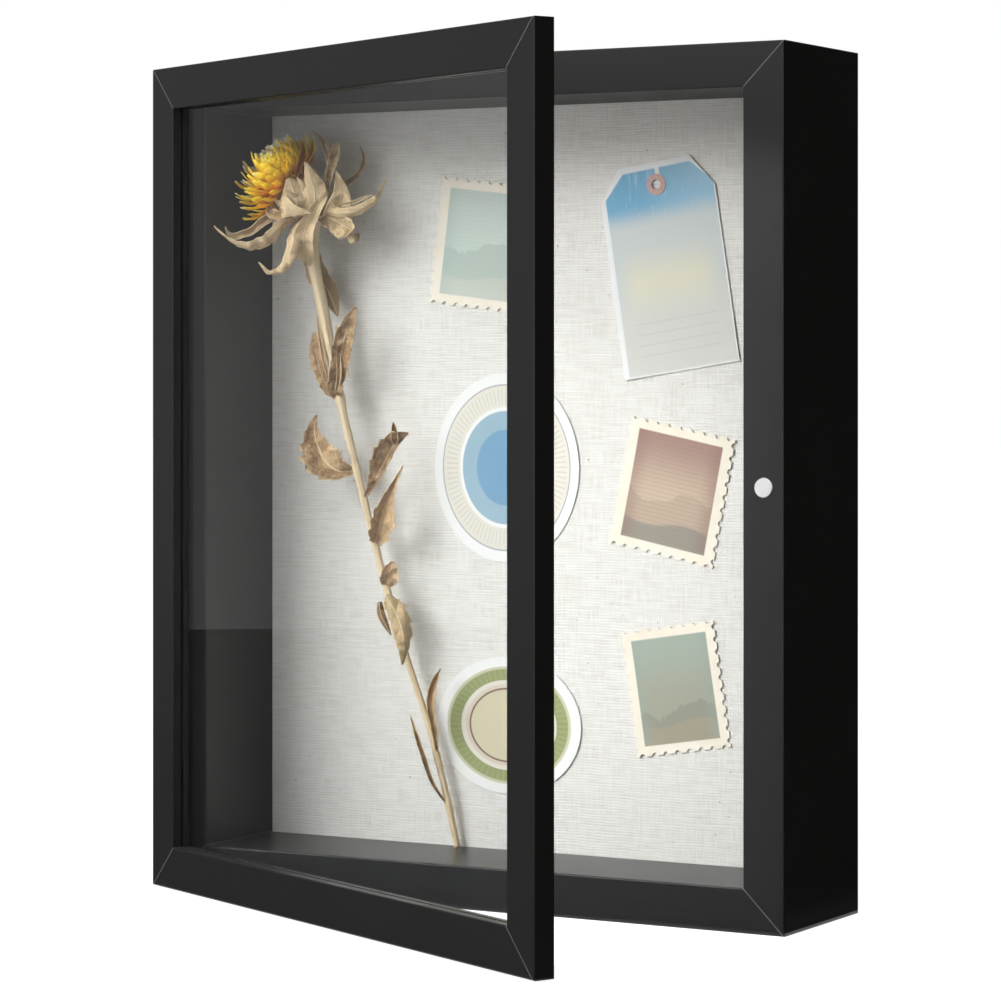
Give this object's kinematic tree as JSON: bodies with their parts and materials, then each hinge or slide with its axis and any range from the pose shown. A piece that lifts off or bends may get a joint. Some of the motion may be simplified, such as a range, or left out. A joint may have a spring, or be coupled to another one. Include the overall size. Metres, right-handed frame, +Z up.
{
  "type": "shadow box frame",
  "caption": "Deep mitred display case with a linen-covered back and a glazed door on butt hinges, held shut by magnets, showing a dried flower and paper keepsakes.",
  "frame": {"origin": "centre of the case's underside, on the surface it stands on", "axes": "+Z up along the tall side, +Y backwards towards the wall, +X to the right as seen from the front, away from the hinges"},
  "size_m": [0.2386, 0.1703, 0.285],
  "materials": {
    "black_wood": "satin black paint",
    "pane": "clear",
    "linen": "plain weave",
    "foam_board": "matte",
    "hardboard": "smooth hardboard",
    "bright_steel": "zinc plated",
    "black_steel": "black",
    "nickel": "bright nickel",
    "card_blue": "printed card",
    "card_mauve": "printed card",
    "card_green": "printed card",
    "card_sage": "printed card",
    "card_sky": "printed card",
    "card_olive": "printed card",
    "card_pink": "matte",
    "dry_stem": "dry plant",
    "dry_bract": "dry plant",
    "dry_petal": "dry plant",
    "dry_leaf": "dry plant"
  },
  "bodies": {
    "case": {"case_left_board": "black_wood", "case_right_board": "black_wood", "case_bottom_board": "black_wood", "case_top_board": "black_wood", "case_v_nails": "bright_steel", "case_magnet": "nickel", "linen_cover": "linen", "pin_board": "foam_board", "backing_board": "hardboard", "flex_points": "bright_steel", "portrait_hanger": "bright_steel", "landscape_hanger": "bright_steel", "hanger_rivets": "bright_steel", "hinge_lower_case_leaf": "black_steel", "hinge_upper_case_leaf": "black_steel", "hinge_lower_pin": "black_steel", "hinge_upper_pin": "black_steel", "hinge_case_screws": "black_steel", "tag_card": "card_blue", "tag_eyelet": "card_pink", "stamp_mauve": "card_mauve", "stamp_green": "card_green", "stamp_sage": "card_sage", "label_blue": "card_sky", "label_olive": "card_olive", "flower_stem": "dry_stem", "flower_calyx": "dry_bract", "flower_petals": "dry_petal", "leaf_upper_left": "dry_leaf", "leaf_upper_right": "dry_leaf", "leaf_broad_left": "dry_leaf", "leaf_high_right": "dry_leaf", "leaf_mid_right": "dry_leaf", "leaf_wrapped": "dry_leaf", "leaf_low_right": "dry_leaf", "leaf_low_left": "dry_leaf"},
    "door": {"door_left_stile": "black_wood", "door_right_stile": "black_wood", "door_bottom_rail": "black_wood", "door_top_rail": "black_wood", "door_v_nails": "bright_steel", "door_glass": "pane", "door_magnet": "nickel", "hinge_lower_door_leaf": "black_steel", "hinge_upper_door_leaf": "black_steel", "hinge_door_screws": "black_steel"}
  },
  "joints": [
    {"name": "door_hinge", "type": "hinge", "parent": "case", "child": "door", "pos_m": [-0.1195, -0.0293, 0.1425], "axis": [0, 0, -1], "range_deg": [-26.35, 153.65]}
  ]
}
